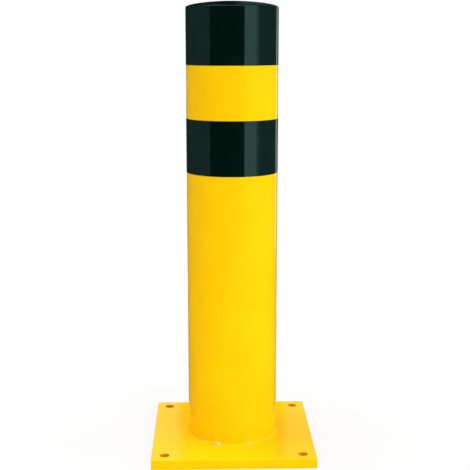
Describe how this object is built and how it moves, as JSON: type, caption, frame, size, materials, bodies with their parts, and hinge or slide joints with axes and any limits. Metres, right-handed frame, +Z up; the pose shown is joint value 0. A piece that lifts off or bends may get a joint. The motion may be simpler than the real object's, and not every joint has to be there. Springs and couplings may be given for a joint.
{
  "type": "impact protection bollard",
  "caption": "Round steel post on a square bolt-down base plate, yellow with black bands and a black domed cap, that shields walls, racks and doorways from vehicle knocks.",
  "frame": {"origin": "on the floor, at the middle of the base plate's underside, under the post's axis", "axes": "+Z up along the post, -Y towards the front, X along the plate's front edge"},
  "size_m": [0.25, 0.25, 0.69],
  "materials": {
    "yellow_coat": "smooth semi-gloss powder coat, traffic yellow",
    "black_film": "glossy self-adhesive film, green-black",
    "black_cap": "glossy moulded plastic, green-black"
  },
  "bodies": {
    "root": {"base_plate": "yellow_coat", "post_tube": "yellow_coat", "base_weld": "yellow_coat", "end_cap": "black_cap", "upper_band": "black_film", "lower_band": "black_film"}
  },
  "joints": []
}
